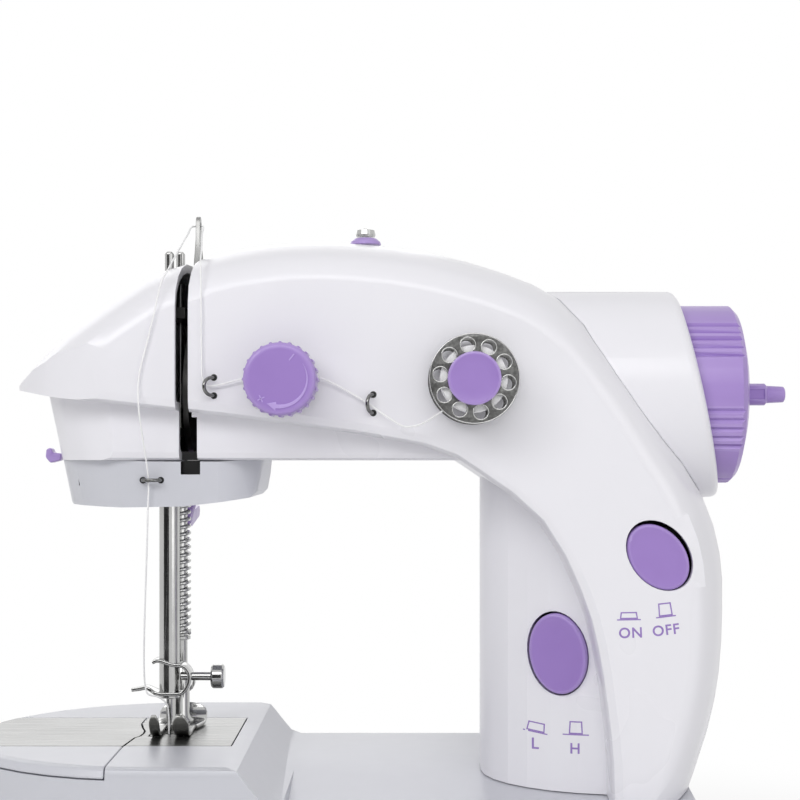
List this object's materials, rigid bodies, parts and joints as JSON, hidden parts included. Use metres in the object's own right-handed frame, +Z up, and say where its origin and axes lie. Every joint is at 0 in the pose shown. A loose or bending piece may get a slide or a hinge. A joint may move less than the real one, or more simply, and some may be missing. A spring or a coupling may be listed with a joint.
{
  "type": "sewing machine",
  "caption": "Compact electric sewing machine with a C-shaped white body on a boat-shaped base, purple handwheel, tension knob, bobbin cap and push buttons.",
  "frame": {"origin": "centre of the overall box at the level of the surface that the rubber feet stand on", "axes": "+X towards the handwheel, +Y away from the side that the user sits at, +Z up"},
  "size_m": [0.2, 0.095, 0.191],
  "materials": {
    "white_plastic": "glossy moulded ABS",
    "purple_plastic": "satin moulded ABS",
    "steel": "plated and polished",
    "dark_steel": "brushed",
    "black_plastic": "fine matt",
    "rubber": "matt",
    "brass": "turned",
    "cotton": "twisted thread"
  },
  "bodies": {
    "machine_body": {"front_shell": "white_plastic", "rear_shell": "white_plastic", "head_housing": "white_plastic", "wheel_collar": "white_plastic", "base_shell": "white_plastic", "bottom_cover": "white_plastic", "bobbin_spindle": "purple_plastic", "top_boss": "purple_plastic", "thread_cutter": "purple_plastic", "power_socket": "black_plastic", "power_switch": "black_plastic", "speed_switch": "black_plastic", "motor": "dark_steel", "bobbin_case": "dark_steel", "foot_front_left": "rubber", "foot_rear_left": "rubber", "foot_front_right": "rubber", "foot_rear_right": "rubber", "motor_belt": "rubber", "timing_belt": "rubber", "thread_supply_run": "cotton", "thread_needle_run": "cotton", "needle_plate": "steel", "presser_spring": "steel", "tension_stud": "steel", "tension_disc_rear": "steel", "tension_disc_front": "steel", "tension_spring": "steel", "thread_guide_left": "steel", "thread_guide_right": "steel", "thread_guide_lower": "steel", "top_boss_screw": "steel", "arm_frame": "steel", "lower_frame": "steel"},
    "drive_shaft": {"main_shaft": "steel", "handwheel": "purple_plastic", "crank_disc": "dark_steel", "shaft_pulleys": "black_plastic"},
    "motor_rotor": {"motor_pulley": "brass"},
    "hook_shaft": {"lower_shaft": "steel", "hook": "steel"},
    "hook_bobbin": {"lower_bobbin": "dark_steel"},
    "needle_bar": {"needle_bar": "steel", "needle_bar_yoke": "dark_steel", "needle_clamp": "steel", "needle": "steel"},
    "needle_clamp_screw": {"clamp_screw": "steel"},
    "take_up": {"take_up_lever": "steel"},
    "lifter": {"presser_lifter": "purple_plastic"},
    "presser": {"presser_bar": "steel", "presser_foot": "steel"},
    "presser_foot_screw": {"foot_screw": "steel"},
    "tension_knob": {"tension_knob": "purple_plastic"},
    "supply_bobbin": {"supply_bobbin": "dark_steel"},
    "power_button": {"power_button": "purple_plastic"},
    "speed_button": {"speed_button": "purple_plastic"},
    "slide_cover": {"slide_cover": "white_plastic", "slide_plate": "steel"},
    "battery_door": {"battery_door": "white_plastic"},
    "feed_dog": {"feed_dog": "steel"}
  },
  "joints": [
    {"name": "main_shaft_spin", "type": "hinge", "parent": "machine_body", "child": "drive_shaft", "pos_m": [0, 0, 0.1471], "axis": [1, 0, 0], "continuous": true},
    {"name": "motor_spin", "type": "hinge", "parent": "machine_body", "child": "motor_rotor", "pos_m": [0, 0.004, 0.092], "axis": [1, 0, 0], "continuous": true},
    {"name": "hook_spin", "type": "hinge", "parent": "machine_body", "child": "hook_shaft", "pos_m": [0, -0.003, 0.036], "axis": [1, 0, 0], "continuous": true},
    {"name": "hook_bobbin_spin", "type": "hinge", "parent": "machine_body", "child": "hook_bobbin", "pos_m": [0, -0.003, 0.036], "axis": [1, 0, 0], "continuous": true},
    {"name": "needle_bar_slide", "type": "slide", "parent": "machine_body", "child": "needle_bar", "axis": [0, 0, 1], "range_m": [0, 0.024], "deforming": ["thread_supply_run", "thread_needle_run"]},
    {"name": "clamp_screw_turn", "type": "hinge", "parent": "needle_bar", "child": "needle_clamp_screw", "pos_m": [0, -0.003, 0.078], "axis": [1, 0, 0], "range_deg": [0, 540]},
    {"name": "take_up_swing", "type": "hinge", "parent": "machine_body", "child": "take_up", "pos_m": [0, 0, 0.1471], "axis": [1, 0, 0], "range_deg": [0, 95]},
    {"name": "lifter_turn", "type": "hinge", "parent": "machine_body", "child": "lifter", "pos_m": [-0.0502, 0.021, 0.1245], "axis": [1, 0, 0], "range_deg": [0, 60]},
    {"name": "presser_bar_slide", "type": "slide", "parent": "machine_body", "child": "presser", "axis": [0, 0, 1], "range_m": [0, 0.0055], "deforming": ["presser_spring"]},
    {"name": "foot_screw_turn", "type": "hinge", "parent": "presser", "child": "presser_foot_screw", "pos_m": [-0.0502, 0, 0.0745], "axis": [0, 1, 0], "range_deg": [0, 540]},
    {"name": "tension_knob_turn", "type": "hinge", "parent": "machine_body", "child": "tension_knob", "pos_m": [-0.0212, 0, 0.149], "axis": [0, 1, 0], "range_deg": [-270, 270]},
    {"name": "supply_bobbin_spin", "type": "hinge", "parent": "machine_body", "child": "supply_bobbin", "pos_m": [0.0215, 0, 0.1491], "axis": [0, 1, 0], "continuous": true},
    {"name": "power_button_press", "type": "slide", "parent": "machine_body", "child": "power_button", "axis": [0, -1, 0], "range_m": [0, 0.0025]},
    {"name": "speed_button_press", "type": "slide", "parent": "machine_body", "child": "speed_button", "axis": [0.342, 0.9397, 0], "range_m": [0, 0.0025]},
    {"name": "slide_cover_slide", "type": "slide", "parent": "machine_body", "child": "slide_cover", "axis": [-1, 0, 0], "range_m": [0, 0.04]},
    {"name": "battery_door_pull", "type": "slide", "parent": "machine_body", "child": "battery_door", "axis": [0, 0, -1], "range_m": [0, 0.0025]},
    {"name": "feed_dog_slide", "type": "slide", "parent": "machine_body", "child": "feed_dog", "axis": [0, 1, 0], "range_m": [-0.0012, 0.0012]}
  ],
  "couplings": [
    {"joint": "motor_spin", "follows": "main_shaft_spin", "ratio": 3.1429},
    {"joint": "hook_spin", "follows": "main_shaft_spin", "ratio": 2},
    {"joint": "take_up_swing", "follows": "needle_bar_slide", "rad_per_m": 69.08},
    {"joint": "presser_bar_slide", "follows": "lifter_turn", "m_per_rad": 0.005252}
  ]
}
